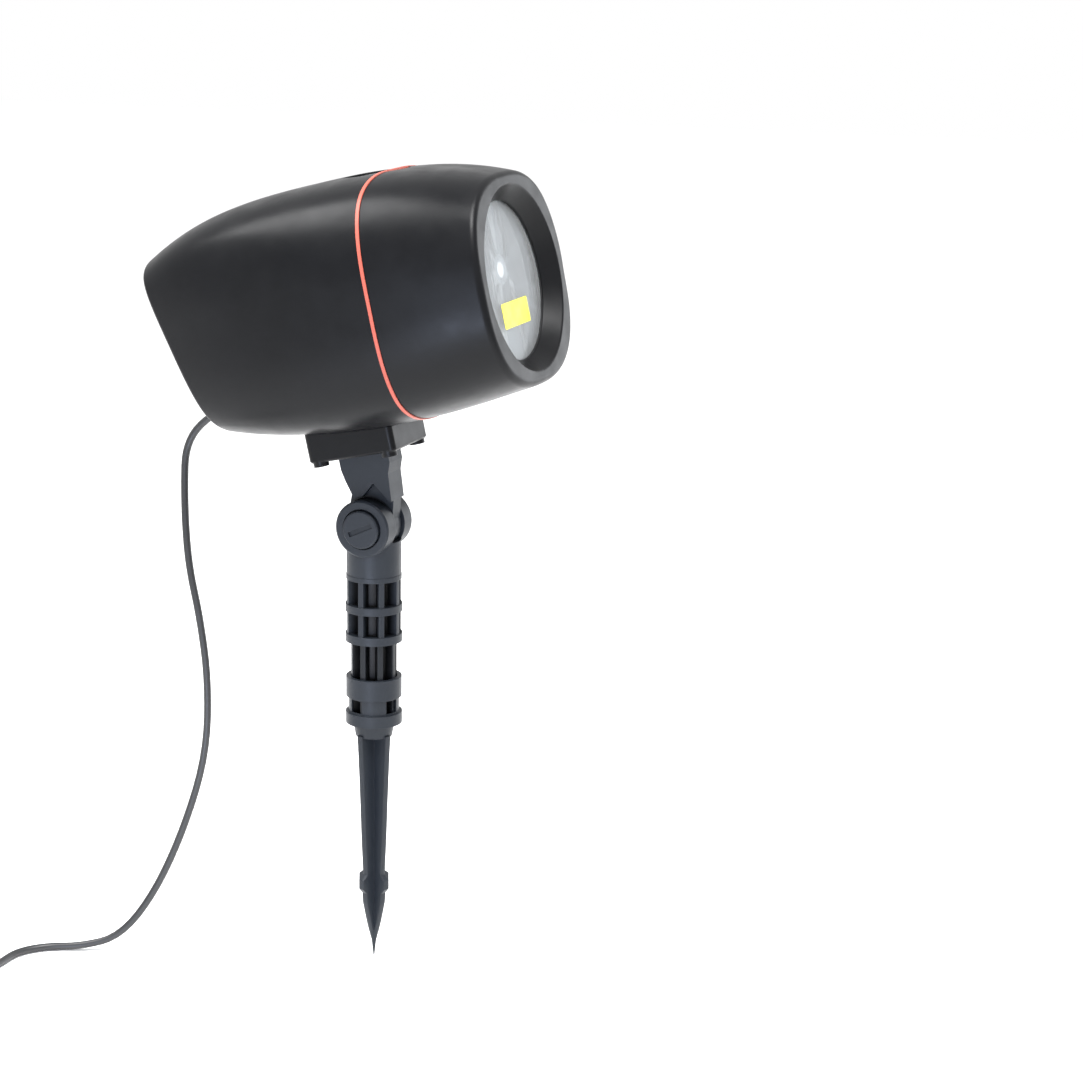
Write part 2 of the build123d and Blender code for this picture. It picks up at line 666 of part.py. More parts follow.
# ---- Tilt neck: root in the shoe, flared body, round tongue in the fork ----------------
with BuildPart() as tilt_neck:
    with BuildSketch(beside(0)):
        with BuildLine():
            Polyline(*[(HINGE_U + u, HINGE_W + w) for u, w in NECK_OUTLINE], close=True)
        make_face()
    extrude(amount=NECK_T / 2, both=True)
    with BuildSketch(above(SHOE_BOTTOM + ROOT_STEP, SHOE_U)):
        Rectangle(*ROOT_SIZE)
    extrude(amount=ROOT_T)
    with BuildSketch(beside(0)):
        with BuildLine():
            Polyline(*[(HINGE_U + u, HINGE_W + w) for u, w in WEB_OUTLINE], close=True)
        make_face()
        with Locations((HINGE_U, HINGE_W)):
            Circle(TONGUE_R)
    extrude(amount=TONGUE_T / 2, both=True)
    with BuildSketch(beside(0)):
        with Locations((HINGE_U, HINGE_W)):
            Circle(BOLT_R + 0.06)
    extrude(amount=TONGUE_T, both=True, mode=Mode.SUBTRACT)
save(tilt_neck, "tilt_neck")

# ---- Knuckle hardware ------------------------------------------------------------------
EAR_END = BARREL_L / 2
KNOB_SEAT = KNOB_RECESS - EAR_END - 0.1

with BuildPart() as friction_washers:
    for y in (SLOT / 2, WASHER_T - SLOT / 2):
        with BuildSketch(hinge_plane(y)):
            Circle(8.5)
            Circle(BOLT_R + 0.1, mode=Mode.SUBTRACT)
        extrude(amount=WASHER_T)
save(friction_washers, "friction_washers")

with BuildPart() as hinge_bolt:
    with BuildSketch(hinge_plane(EAR_END - BOLT_HEAD_T)):
        Circle(BOLT_R)
    extrude(amount=BARREL_L - BOLT_HEAD_T + KNOB_PROUD - 2)
    with BuildSketch(hinge_plane(EAR_END)):
        RegularPolygon(BOLT_HEAD_R, 6)
    extrude(amount=BOLT_HEAD_T)
save(hinge_bolt, "hinge_bolt")

with BuildPart() as thumb_knob:
    with BuildSketch(hinge_plane(KNOB_SEAT)):
        Circle(KNOB_R)
    extrude(amount=KNOB_RECESS + KNOB_PROUD - 0.1)
    chamfer(thumb_knob.faces().sort_by(Axis.Y)[0].edges(), 0.6)
    with BuildSketch(hinge_plane(-EAR_END - KNOB_PROUD)):
        Rectangle(*KNOB_SLOT[:2], rotation=25)
    extrude(amount=-KNOB_SLOT[2], mode=Mode.SUBTRACT)
    with BuildSketch(hinge_plane(KNOB_SEAT)):
        Circle(INSERT_R + 0.02)
    extrude(amount=INSERT_L + 0.1, mode=Mode.SUBTRACT)
save(thumb_knob, "thumb_knob")

with BuildPart() as knob_insert:
    with BuildSketch(hinge_plane(KNOB_SEAT)):
        Circle(INSERT_R)
        Circle(BOLT_R + 0.06, mode=Mode.SUBTRACT)
    extrude(amount=INSERT_L)
save(knob_insert, "knob_insert")

# ---- Upper post: fork, collar, two rows of pockets, fluted spigot ----------------------
with BuildPart() as upper_post:
    for low, high, radius in POST_STEPS:
        with BuildSketch(Plane.XY.offset(low)):
            Circle(radius)
        extrude(amount=high - low)
    chamfer(upper_post.edges().sort_by(Axis.Z)[0], 0.8)
    for low, high, core, rib in FLUTES:
        with BuildSketch(Plane.XY.offset(low)):
            Circle(RING_R + 1)
            Circle(core, mode=Mode.SUBTRACT)
            with PolarLocations(0, RIBS, start_angle=RIB_TURN):
                with Locations((RING_R / 2, 0)):
                    Rectangle(RING_R + 2, rib, mode=Mode.SUBTRACT)
        extrude(amount=high - low, mode=Mode.SUBTRACT)
    with BuildSketch(hinge_plane(EAR_END)):
        Circle(BARREL_R)
    extrude(amount=BARREL_L)
    ends = upper_post.faces().sort_by(Axis.Y)
    chamfer((ends[0] + ends[-1]).edges(), 0.8)
    with BuildSketch(hinge_plane(SLOT / 2)):
        Circle(SLOT_R)
        with Locations((0, SLOT_R - SLOT_SHOULDER)):
            Rectangle(4 * BARREL_R, 2 * SLOT_R)
    extrude(amount=SLOT, mode=Mode.SUBTRACT)
    with BuildSketch(hinge_plane(EAR_END)):
        Circle(BOLT_R + 0.05)
    extrude(amount=BARREL_L, mode=Mode.SUBTRACT)
    with BuildSketch(hinge_plane(EAR_END)):
        RegularPolygon(BOLT_HEAD_R + 0.1, 6)
    extrude(amount=BOLT_HEAD_T, mode=Mode.SUBTRACT)
    with BuildSketch(hinge_plane(KNOB_RECESS - EAR_END)):
        Circle(KNOB_RECESS_R)
    extrude(amount=KNOB_RECESS, mode=Mode.SUBTRACT)
save(upper_post, "upper_post")

# ---- Ground stake: socket with a flange, cross-shaped blade with barbs ------------------
with BuildPart() as ground_stake:
    with BuildSketch(Plane.XZ):
        with BuildLine():
            Polyline(*BLADE_OUTLINE, close=True)
        make_face()
    revolve(axis=Axis.Z)
    with BuildSketch(Plane.XY):
        with Locations(Rotation(0, 0, BLADE_TURN)):
            Rectangle(40, BLADE_T)
            Rectangle(BLADE_T, 40)
    extrude(amount=BLADE_OUTLINE[-1][1], mode=Mode.INTERSECT)
    with BuildSketch(Plane.XZ):
        with BuildLine():
            Polyline(*SOCKET_OUTLINE, close=True)
        make_face()
    revolve(axis=Axis.Z)
    with BuildSketch(Plane.XY.offset(SOCKET_FLOOR)):
        Circle(SOCKET_R)
    extrude(amount=40, mode=Mode.SUBTRACT)
    with BuildSketch(Plane.XY.offset(PORT_LOW)):
        with PolarLocations(SOCKET_R + 1, 4, start_angle=BLADE_TURN):
            Rectangle(6, PORT_WIDTH)
    extrude(amount=PORT_TALL, mode=Mode.SUBTRACT)
save(ground_stake, "ground_stake")

# ---- Lead ------------------------------------------------------------------------------
CORD_START = back(-GLAND_OUT, GLAND_UP).origin
CORD_DROP = [
    (-94.6, -1.5, 233.0), (-93.8, -4.5, 217.0), (-91.2, -9.0, 198.0), (-87.1, -13.5, 179.0),
    (-79.3, -18.5, 158.0), (-73.0, -23.0, 130.0), (-72.3, -27.0, 96.0), (-81.5, -32.5, 60.5),
    (-94.5, -38.5, 28.5), (-109.5, -45.5, 7.0), (-127.0, -52.0, 1.8), (-141.0, -58.0, 1.8),
    (COIL_CENTRE[0] + COIL_ENTRY_R, -70.0, 1.8), (COIL_CENTRE[0] + COIL_ENTRY_R, TUBE_END_Y, 1.8),
]
ROUTE = [tuple(CORD_START), tuple(CORD_START - INWARD * 11.4)] + CORD_DROP


def corner_radii(points):
    """Bend radius at each inner point, as wide as its shorter neighbouring run allows."""
    radii = []
    for before, corner, after in zip(points, points[1:], points[2:]):
        run_in = Vector(corner) - Vector(before)
        run_out = Vector(after) - Vector(corner)
        turn = radians(run_in.get_angle(run_out))
        radii.append(0.45 * min(run_in.length, run_out.length) / tan(turn / 2))
    return radii


print("bend radii", [round(radius, 1) for radius in corner_radii(ROUTE)])

with BuildPart() as power_cord:
    with BuildLine() as cord_line:
        FilletPolyline(*ROUTE, radius=corner_radii(ROUTE))
    with BuildSketch(Plane(origin=ROUTE[0], z_dir=-INWARD)):
        Circle(CORD_R)
    sweep()
tube_length = sum(edge.length for edge in cord_line.edges())
print("tube", round(tube_length, 1), "mm, volume", round(power_cord.part.volume, 1),
      "against", round(tube_length * pi * CORD_R ** 2, 1))
save(power_cord, "power_cord")

# The rest of the lead lies in a flat coil; both of its ends leave along Y.
with BuildPart() as cord_coil:
    with BuildSketch(Plane.XY):
        with Locations(COIL_CENTRE):
            Circle(COIL_MID_R + COIL_WIDTH / 2)
            Circle(COIL_MID_R - COIL_WIDTH / 2, mode=Mode.SUBTRACT)
    extrude(amount=COIL_HEIGHT)
    fillet(cord_coil.edges().filter_by(GeomType.CIRCLE), CORD_R)
    with BuildSketch(Plane(origin=(ROUTE[-1][0], TUBE_END_Y, ROUTE[-1][2]), z_dir=(0, -1, 0))):
        Circle(CORD_R)
    extrude(amount=TUBE_END_Y - COIL_CENTRE[1] - 5)
    exit_x = COIL_CENTRE[0] - COIL_ENTRY_R
    with BuildSketch(Plane(origin=(exit_x, COIL_CENTRE[1] + 4, COIL_EXIT_Z), z_dir=(0, 1, 0))):
        Circle(CORD_R)
    extrude(amount=COIL_EXIT_L - 4)
save(cord_coil, "cord_coil")

CONNECTOR_START = Plane(
    origin=(exit_x, COIL_CENTRE[1] + COIL_EXIT_L, COIL_EXIT_Z), x_dir=(1, 0, 0), z_dir=(0, 1, 0))
with BuildPart() as cord_connector:
    with BuildSketch(CONNECTOR_START):
        Circle(CORD_R + 0.7)
    with BuildSketch(CONNECTOR_START.offset(14)):
        Circle(CORD_R + 1.9)
    loft()
    with BuildSketch(CONNECTOR_START.offset(14)):
        Circle(CONNECTOR_R)
    extrude(amount=CONNECTOR_L - 14)
    chamfer(cord_connector.faces().sort_by(Axis.Y)[-1].edges(), 0.8)
save(cord_connector, "cord_connector")

with BuildPart() as connector_tip:
    with BuildSketch(CONNECTOR_START.offset(CONNECTOR_L)):
        Circle(TIP_R)
        Circle(TIP_R - 1.5, mode=Mode.SUBTRACT)
    extrude(amount=TIP_L)
save(connector_tip, "connector_tip")
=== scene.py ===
import bmesh
import bpy
import json
import math
from mathutils import Matrix, Vector


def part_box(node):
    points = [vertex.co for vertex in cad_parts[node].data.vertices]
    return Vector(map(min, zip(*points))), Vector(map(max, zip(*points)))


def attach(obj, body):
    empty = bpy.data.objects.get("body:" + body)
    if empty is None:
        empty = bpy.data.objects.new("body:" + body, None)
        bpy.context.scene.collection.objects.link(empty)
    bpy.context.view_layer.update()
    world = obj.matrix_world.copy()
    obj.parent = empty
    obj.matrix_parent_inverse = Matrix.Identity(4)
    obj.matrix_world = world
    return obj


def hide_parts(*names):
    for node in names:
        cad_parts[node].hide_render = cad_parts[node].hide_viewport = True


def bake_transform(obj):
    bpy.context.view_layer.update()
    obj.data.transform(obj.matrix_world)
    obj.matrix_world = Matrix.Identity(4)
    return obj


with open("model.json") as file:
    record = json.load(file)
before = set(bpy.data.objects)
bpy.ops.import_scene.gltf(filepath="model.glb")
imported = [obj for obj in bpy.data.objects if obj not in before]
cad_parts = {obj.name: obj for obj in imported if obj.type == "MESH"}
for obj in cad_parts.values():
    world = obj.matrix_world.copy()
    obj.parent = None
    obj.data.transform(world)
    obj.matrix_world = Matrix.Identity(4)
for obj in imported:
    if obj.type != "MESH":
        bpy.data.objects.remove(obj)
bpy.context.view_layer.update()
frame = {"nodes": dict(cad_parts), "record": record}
scene = bpy.context.scene
scene.view_settings.view_transform = "Standard"

# ---- Camera, at the photograph's viewing angle -------------------------------------------
aim = Vector((0.0, 0.0, 0.200))
camera = bpy.data.objects.new("camera", bpy.data.cameras.new("camera"))
scene.collection.objects.link(camera)
camera.location = (0.52154, -1.14441, 0.49961)
camera.rotation_euler = (aim - camera.location).to_track_quat("-Z", "Y").to_euler()
camera.data.sensor_width = 36
camera.data.lens = 95.54
camera.data.shift_x = 0.1547
camera.data.shift_y = -0.0047
camera.data.clip_end = 20      # beyond the far edge of the floor
scene.camera = camera

# ---- Directions of the casing, as in the CAD source --------------------------------------
PITCH = math.radians(12.7)
LEAN = math.radians(17.7)
BEAM = Vector((math.cos(PITCH), 0, math.sin(PITCH)))
RISE = Vector((-math.sin(PITCH), 0, math.cos(PITCH)))
SIDE = Vector((0, 1, 0))
SEAM = Vector((0.0220, 0, 0.3124))
INWARD = BEAM * math.cos(LEAN) + RISE * math.sin(LEAN)


def head_point(u, v, w):
    """A point of the casing in metres, from millimetres along, across and above the beam."""
    return SEAM + (BEAM * u + SIDE * v + RISE * w) / 1000


# ---- The lead: one line from the strain relief to the coil and its connector -------------
CORD_R = 0.00175
COIL = Vector((-0.179, -0.115, 0))
COIL_OUT, COIL_IN = 0.0286, 0.0110     # outermost and innermost turn
LAYER = 0.0035                   # rise from one layer to the next
LAYERS, TURNS = 4, 5             # layers of the coil, and turns in each
STEPS = 24                       # points per turn
FIRST_HEIGHT = 0.0018            # centre of the cord where it lies on the ground

drop = [
    (-0.07747, 0.0, 0.25115), (-0.08731, 0.0, 0.24538), (-0.0946, -0.0015, 0.233),
    (-0.0938, -0.0045, 0.217), (-0.0912, -0.009, 0.198), (-0.0871, -0.0135, 0.179),
    (-0.0793, -0.0185, 0.158), (-0.073, -0.023, 0.130), (-0.0723, -0.027, 0.096),
    (-0.0815, -0.0325, 0.0605), (-0.0945, -0.0385, 0.0285), (-0.1095, -0.0455, 0.007),
    (-0.127, -0.052, 0.0018), (-0.141, -0.058, 0.0018), (-0.1504, -0.070, 0.0018),
    (-0.1504, -0.084, 0.0018), (-0.1504, -0.100, 0.0018),
]


def coil_points():
    """Flat layers wound in and out in turn, each climbing over half a turn to the next."""
    points, turn, height = [], 0.0, FIRST_HEIGHT
    for layer in range(LAYERS):
        first, last = (COIL_OUT, COIL_IN) if layer % 2 == 0 else (COIL_IN, COIL_OUT)
        for step in range(TURNS * STEPS):
            radius = first + (last - first) * step / (TURNS * STEPS)
            points.append((radius, turn, height))
            turn -= 2 * math.pi / STEPS
        if layer == LAYERS - 1:
            break
        for step in range(STEPS // 2):
            climb = math.sin(math.pi / 2 * step / (STEPS // 2))
            points.append((last, turn, height + LAYER * climb))
            turn -= 2 * math.pi / STEPS
        height += LAYER
    return [
        (COIL.x + r * math.cos(a), COIL.y + r * math.sin(a), z) for r, a, z in points
    ]


exit_x = COIL.x - COIL_OUT
lead_out = [
    (exit_x, COIL.y, 0.0123), (exit_x, COIL.y + 0.008, 0.0123), (exit_x, COIL.y + 0.016, 0.0115),
    (exit_x, COIL.y + 0.023, 0.0085), (exit_x, COIL.y + 0.029, 0.0058),
    (exit_x, COIL.y + 0.034, 0.0053), (exit_x, COIL.y + 0.037, 0.0053),
]


def line_curve(name, points):
    """A smooth open curve with these control points."""
    data = bpy.data.curves.new(name, "CURVE")
    data.dimensions = "3D"
    spline = data.splines.new("NURBS")
    spline.points.add(len(points) - 1)
    for point, place in zip(spline.points, points):
        point.co = (*place, 1)
    spline.order_u = 3
    spline.use_endpoint_u = True
    data.resolution_u = 5
    return data


def made_from(curve, name):
    """The mesh that a curve shows, as an object in the scene."""
    holder = bpy.data.objects.new("holder", curve)
    mesh = bpy.data.meshes.new_from_object(holder)
    bpy.data.objects.remove(holder)
    mesh.name = name
    piece = bpy.data.objects.new(name, mesh)
    scene.collection.objects.link(piece)
    return piece


lead_line = line_curve("lead_line", drop + coil_points() + lead_out)
bare = made_from(lead_line, "bare_line")
bpy.data.objects.remove(bare)
lead_line.bevel_depth = CORD_R
lead_line.bevel_resolution = 3
lead_line.use_fill_caps = True
lead = made_from(lead_line, "lead")
for polygon in lead.data.polygons:
    polygon.use_smooth = True
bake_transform(lead)
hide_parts("power_cord", "cord_coil")


# ---- Label, coil tie and strain relief ---------------------------------------------------
def from_bmesh(name, shape):
    """A smooth-shaded object made from a bmesh."""
    mesh = bpy.data.meshes.new(name)
    bmesh.ops.recalc_face_normals(shape, faces=shape.faces)
    shape.to_mesh(mesh)
    shape.free()
    for polygon in mesh.polygons:
        polygon.use_smooth = True
    piece = bpy.data.objects.new(name, mesh)
    scene.collection.objects.link(piece)
    return piece


def bridge(shape, rings, closed=False):
    """Faces between each ring of points and the next, and round to the first if closed."""
    followers = rings[1:] + rings[:1] if closed else rings[1:]
    for ring, following in zip(rings, followers):
        for i, vertex in enumerate(ring):
            j = (i + 1) % len(ring)
            shape.faces.new((vertex, ring[j], following[j], following[i]))


def cap(shape, rings):
    """Flat ends on the first and the last ring."""
    shape.faces.new(rings[0])
    shape.faces.new(rings[-1])


CORNER_STEPS, CORNER_DEGREES = 7, 15     # points on a rounded corner, and the turn between them
TIE_CLEAR = 0.0022                       # from an edge turn's centre to the strap's outside
TIE_TOP, TIE_CORNER = 0.0146, 0.0025
# The strap's section: places across its width, and from its inside (0) to its outside (1).
TIE_EDGE = [(-0.5, 0), (-0.5, 1), (-0.42, 1.15), (0.42, 1.15), (0.5, 1), (0.5, 0)]


def coil_tie(name, angle, width, thick):
    """A strap that closes round the coil's section, at an angle round the coil."""
    inner, outer, top, corner = COIL_IN - TIE_CLEAR, COIL_OUT + TIE_CLEAR, TIE_TOP, TIE_CORNER
    loop = []
    for start, x, z in ((0, outer, top), (90, inner, top), (180, inner, 0.0), (270, outer, 0.0)):
        for step in range(CORNER_STEPS):
            turn = math.radians(start + CORNER_DEGREES * step)
            out_x = math.cos(math.radians(start + 45)) > 0
            out_z = math.sin(math.radians(start + 45)) > 0
            centre = (x - corner if out_x else x + corner, z - corner if out_z else z + corner)
            loop.append((centre[0], centre[1], math.cos(turn), math.sin(turn)))
    shape = bmesh.new()
    rings = []
    for across_band, lift in TIE_EDGE:
        ring = []
        for x, z, ux, uz in loop:
            reach = corner - thick + thick * lift
            place = Vector((x + ux * reach, across_band * width, max(z + uz * reach, 0.0)))
            ring.append(shape.verts.new(Matrix.Rotation(angle, 3, "Z") @ place + COIL))
        rings.append(ring)
    bridge(shape, rings, closed=True)
    return from_bmesh(name, shape)


def turned(name, start, axis, profile, sides=40):
    """A turned form from (distance along the axis, radius) pairs, from a start point."""
    right = axis.orthogonal().normalized()
    up = axis.cross(right)
    shape = bmesh.new()
    rings = []
    for along, radius in profile:
        ring = []
        for side in range(sides):
            turn = 2 * math.pi * side / sides
            off = right * math.cos(turn) + up * math.sin(turn)
            ring.append(shape.verts.new(start + axis * along + off * radius))
        rings.append(ring)
    bridge(shape, rings)
    cap(shape, rings)
    return from_bmesh(name, shape)


def film(name, centre, size, corner, thick):
    """A thin film with rounded corners, lying across the beam."""
    shape = bmesh.new()
    rings = []
    for lift, inset in ((0.0, 0.0), (thick * 0.7, 0.0), (thick, thick)):
        ring = []
        for start, sx, sy in ((0, 1, 1), (90, -1, 1), (180, -1, -1), (270, 1, -1)):
            for step in range(CORNER_STEPS):
                turn = math.radians(start + CORNER_DEGREES * step)
                v = sx * (size[0] / 2 - corner) + (corner - inset) * math.cos(turn)
                w = sy * (size[1] / 2 - corner) + (corner - inset) * math.sin(turn)
                ring.append(shape.verts.new(centre + SIDE * v + RISE * w + BEAM * lift))
        rings.append(ring)
    bridge(shape, rings)
    cap(shape, rings)
    piece = from_bmesh(name, shape)
    for polygon in piece.data.polygons:
        polygon.use_smooth = False
    return piece


LABEL_PLACE = head_point(42.0, 2.0, -16.4)       # low on the face of the glass
LABEL_SIZE, LABEL_CORNER, LABEL_THICK = (0.0290, 0.0110), 0.0009, 0.00015
label = film("blank_label", LABEL_PLACE, LABEL_SIZE, LABEL_CORNER, LABEL_THICK)
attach(label, "head")
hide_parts("window_label")

TIE_ANGLE, TIE_WIDTH, TIE_THICK = math.radians(-60), 0.0065, 0.0009
tie = coil_tie("coil_tie", TIE_ANGLE, TIE_WIDTH, TIE_THICK)
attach(tie, "post")

# Strain relief: a collar inside the wall, a neck through it, then a ribbed taper outside.
RELIEF_OUT, RELIEF_WIDE, RELIEF_THIN = 0.014, 0.0041, 0.0023
RELIEF_RIBS, RIB_START, RIB_PITCH = 6, 0.0012, 0.0021
GROOVE_DEEP = 0.0007
relief_profile = [
    (-0.0166, 0.0050), (-0.0146, 0.0050), (-0.0146, 0.0031), (-0.0141, 0.0031),
    (-RELIEF_OUT, RELIEF_WIDE),
]
for rib in range(RELIEF_RIBS):
    near = -RELIEF_OUT + RIB_START + rib * RIB_PITCH
    wide = RELIEF_WIDE + (RELIEF_THIN - RELIEF_WIDE) * (near + RELIEF_OUT) / RELIEF_OUT
    relief_profile += [
        (near, wide), (near + 0.0002, wide - GROOVE_DEEP),
        (near + 0.0008, wide - GROOVE_DEEP), (near + 0.0010, wide - 0.0001),
    ]
relief_profile += [(0.0, RELIEF_THIN), (0.0003, 0.0019)]
relief = turned("strain_relief", Vector(drop[0]), -INWARD, relief_profile)
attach(relief, "head")
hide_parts("cord_gland")


# ---- Materials ---------------------------------------------------------------------------
class Nodes:
    """A material's node tree, with the few joins that every finish here uses."""

    def __init__(self, name):
        self.material = bpy.data.materials.new(name)
        self.material.use_nodes = True
        self.tree = self.material.node_tree
        self.shader = self.tree.nodes["Principled BSDF"]
        self.output = self.tree.nodes["Material Output"]
        self.place = self.add("ShaderNodeTexCoord").outputs["Object"]

    def add(self, kind, **values):
        node = self.tree.nodes.new(kind)
        for key, value in values.items():
            if key in node.inputs:
                node.inputs[key].default_value = value
            else:
                setattr(node, key, value)
        return node

    def join(self, a, b):
        self.tree.links.new(a, b)

    def noise(self, scale, detail=3.0, stretch=(1, 1, 1)):
        """Noise at a scale per metre, drawn out along the axes."""
        spread = self.add("ShaderNodeMapping")
        spread.inputs["Scale"].default_value = stretch
        self.join(self.place, spread.inputs["Vector"])
        node = self.add("ShaderNodeTexNoise", Scale=scale, Detail=detail)
        self.join(spread.outputs["Vector"], node.inputs["Vector"])
        return node.outputs["Fac"]

    def between(self, factor, low, high):
        """A number that runs from low to high as the noise does."""
        node = self.add("ShaderNodeMapRange")
        node.inputs["From Min"].default_value = 0.3
        node.inputs["From Max"].default_value = 0.7
        node.inputs["To Min"].default_value = low
        node.inputs["To Max"].default_value = high
        self.join(factor, node.inputs["Value"])
        return node.outputs["Result"]

    def tint(self, factor, dark, light):
        """A colour that runs from dark to light as the noise does."""
        node = self.add("ShaderNodeMix", data_type="RGBA")
        node.inputs[6].default_value = (*dark, 1)
        node.inputs[7].default_value = (*light, 1)
        self.join(self.between(factor, 0, 1), node.inputs[0])
        return node.outputs[2]

    def relief(self, factor, depth, rounding=0.0, strength=1.0):
        """Bump of a depth in metres, over edges rounded for the light."""
        node = self.add("ShaderNodeBump", Strength=strength, Distance=depth)
        self.join(factor, node.inputs["Height"])
        if rounding:
            edge = self.add("ShaderNodeBevel", Radius=rounding, samples=6)
            self.join(edge.outputs["Normal"], node.inputs["Normal"])
        self.join(node.outputs["Normal"], self.shader.inputs["Normal"])


def shades(colour, spread):
    """A colour a little darker and a little lighter."""
    return [c * (1 - spread) for c in colour], [min(c * (1 + spread), 1) for c in colour]


def moulded(name, colour, rough, grain=2600, depth=0.00003, spread=0.10, rounding=0.0004,
            specular=0.5, coat=0.0, coat_rough=0.3):
    """Moulded plastic or rubber: fine spark texture, faint flow marks, uneven sheen."""
    nodes = Nodes(name)
    dark, light = shades(colour, spread)
    flow = nodes.noise(28, 5, (1, 1, 0.45))
    nodes.join(nodes.tint(flow, dark, light), nodes.shader.inputs["Base Color"])
    handled = nodes.noise(90, 4)
    nodes.join(nodes.between(handled, rough - 0.05, rough + 0.06), nodes.shader.inputs["Roughness"])
    nodes.relief(nodes.noise(grain, 2), depth, rounding)
    nodes.shader.inputs["Specular IOR Level"].default_value = specular
    nodes.shader.inputs["Coat Weight"].default_value = coat
    nodes.shader.inputs["Coat Roughness"].default_value = coat_rough
    return nodes.material


SHADE_FULL_RADIUS, SHADE_END_RADIUS = 0.0092, 0.0118      # radius in the post's pockets, where the painted shade is full, and at their edge, where it has faded out


def with_painted_pocket_shade(name, colour, rough, pocket_shade_colour, specular):
    """Moulded plastic with painted shade in its pockets, which lie nearer the post's axis: the
    colour darkens there.
    """
    material = moulded(name, colour, rough, specular=specular)
    tree = material.node_tree
    shader = tree.nodes["Principled BSDF"]
    plain = shader.inputs["Base Color"].links[0].from_socket
    place = tree.nodes.new("ShaderNodeTexCoord")
    level = tree.nodes.new("ShaderNodeVectorMath")
    level.operation = "MULTIPLY"
    level.inputs[1].default_value = (1, 1, 0)
    tree.links.new(place.outputs["Object"], level.inputs[0])
    radius = tree.nodes.new("ShaderNodeVectorMath")
    radius.operation = "LENGTH"
    tree.links.new(level.outputs[0], radius.inputs[0])
    # Painted shade mask: 0 at the pocket floor radius, 1 at the pocket edge.
    depth = tree.nodes.new("ShaderNodeMapRange")
    depth.inputs["From Min"].default_value = SHADE_FULL_RADIUS
    depth.inputs["From Max"].default_value = SHADE_END_RADIUS
    tree.links.new(radius.outputs["Value"], depth.inputs["Value"])
    # Mix the painted shade colour into the plain colour by that mask.
    mix = tree.nodes.new("ShaderNodeMix")
    mix.data_type = "RGBA"
    mix.inputs[6].default_value = (*pocket_shade_colour, 1)
    tree.links.new(depth.outputs["Result"], mix.inputs[0])
    tree.links.new(plain, mix.inputs[7])
    tree.links.new(mix.outputs[2], shader.inputs["Base Color"])
    return material


def metal(name, colour, rough, stretch=(1, 1, 14), grain=500, depth=0.00001):
    """Plated or turned metal with fine drawn marks."""
    nodes = Nodes(name)
    dark, light = shades(colour, 0.08)
    marks = nodes.noise(grain, 3, stretch)
    nodes.join(nodes.tint(marks, dark, light), nodes.shader.inputs["Base Color"])
    nodes.join(nodes.between(marks, rough - 0.06, rough + 0.08), nodes.shader.inputs["Roughness"])
    nodes.relief(marks, depth, 0.0002)
    nodes.shader.inputs["Metallic"].default_value = 1.0
    return nodes.material


def clear(name, colour, rough, solid):
    """Clear plate: light passes straight through, with a reflection that grows to the edge."""
    nodes = Nodes(name)
    shader, output = nodes.shader, nodes.output
    smear = nodes.noise(60, 4)
    nodes.join(nodes.tint(smear, *shades(colour, 0.03)), shader.inputs["Base Color"])
    nodes.join(nodes.between(smear, rough, rough + 0.05), shader.inputs["Roughness"])
    through = nodes.add("ShaderNodeBsdfTransparent")
    through.inputs["Color"].default_value = (0.97, 0.985, 0.99, 1)
    edge = nodes.add("ShaderNodeFresnel", IOR=1.45)
    share = nodes.add("ShaderNodeMath", operation="MULTIPLY_ADD")
    share.inputs[1].default_value = 1.0 - solid
    share.inputs[2].default_value = solid
    nodes.join(edge.outputs["Fac"], share.inputs[0])
    mix = nodes.add("ShaderNodeMixShader")
    nodes.join(share.outputs["Value"], mix.inputs[0])
    nodes.join(through.outputs["BSDF"], mix.inputs[1])
    nodes.join(shader.outputs["BSDF"], mix.inputs[2])
    nodes.join(mix.outputs["Shader"], output.inputs["Surface"])
    return nodes.material


def board(name):
    """Green circuit board with faint tracks under the solder mask."""
    nodes = Nodes(name)
    tracks = nodes.add("ShaderNodeTexVoronoi", Scale=260, distance="MANHATTAN", feature="F1")
    nodes.join(nodes.place, tracks.inputs["Vector"])
    nodes.join(
        nodes.tint(tracks.outputs["Distance"], (0.012, 0.085, 0.035), (0.03, 0.19, 0.08)),
        nodes.shader.inputs["Base Color"])
    nodes.relief(tracks.outputs["Distance"], 0.00003)
    nodes.shader.inputs["Roughness"].default_value = 0.35
    return nodes.material


def label_film(name):
    """Yellow film, blank, with a soft paler mottle."""
    nodes = Nodes(name)
    mottle = nodes.noise(190, 3)
    nodes.join(
        nodes.tint(mottle, (0.70, 0.60, 0.000), (0.84, 0.76, 0.015)),
        nodes.shader.inputs["Base Color"])
    nodes.join(nodes.between(mottle, 0.34, 0.46), nodes.shader.inputs["Roughness"])
    nodes.relief(mottle, 0.00002)
    return nodes.material


def lamp_lens(name, centre, core):
    """Frosted lens over the lasers, bright at its core."""
    nodes = Nodes(name)
    frost = nodes.noise(900, 2)
    offset = nodes.add("ShaderNodeVectorMath", operation="DISTANCE")
    offset.inputs[1].default_value = centre
    nodes.join(nodes.place, offset.inputs[0])
    glow = nodes.add("ShaderNodeMapRange", interpolation_type="SMOOTHSTEP")
    for socket, value in (("From Min", core * 0.7), ("From Max", core * 1.25),
                          ("To Min", 0.5), ("To Max", 0.0)):
        glow.inputs[socket].default_value = value
    nodes.join(offset.outputs["Value"], glow.inputs["Value"])
    nodes.join(
        nodes.tint(frost, (0.50, 0.54, 0.58), (0.60, 0.64, 0.68)),
        nodes.shader.inputs["Base Color"])
    nodes.join(nodes.between(frost, 0.25, 0.35), nodes.shader.inputs["Roughness"])
    nodes.relief(frost, 0.00002)
    nodes.shader.inputs["Emission Color"].default_value = (1, 1, 1, 1)
    nodes.join(glow.outputs["Result"], nodes.shader.inputs["Emission Strength"])
    return nodes.material


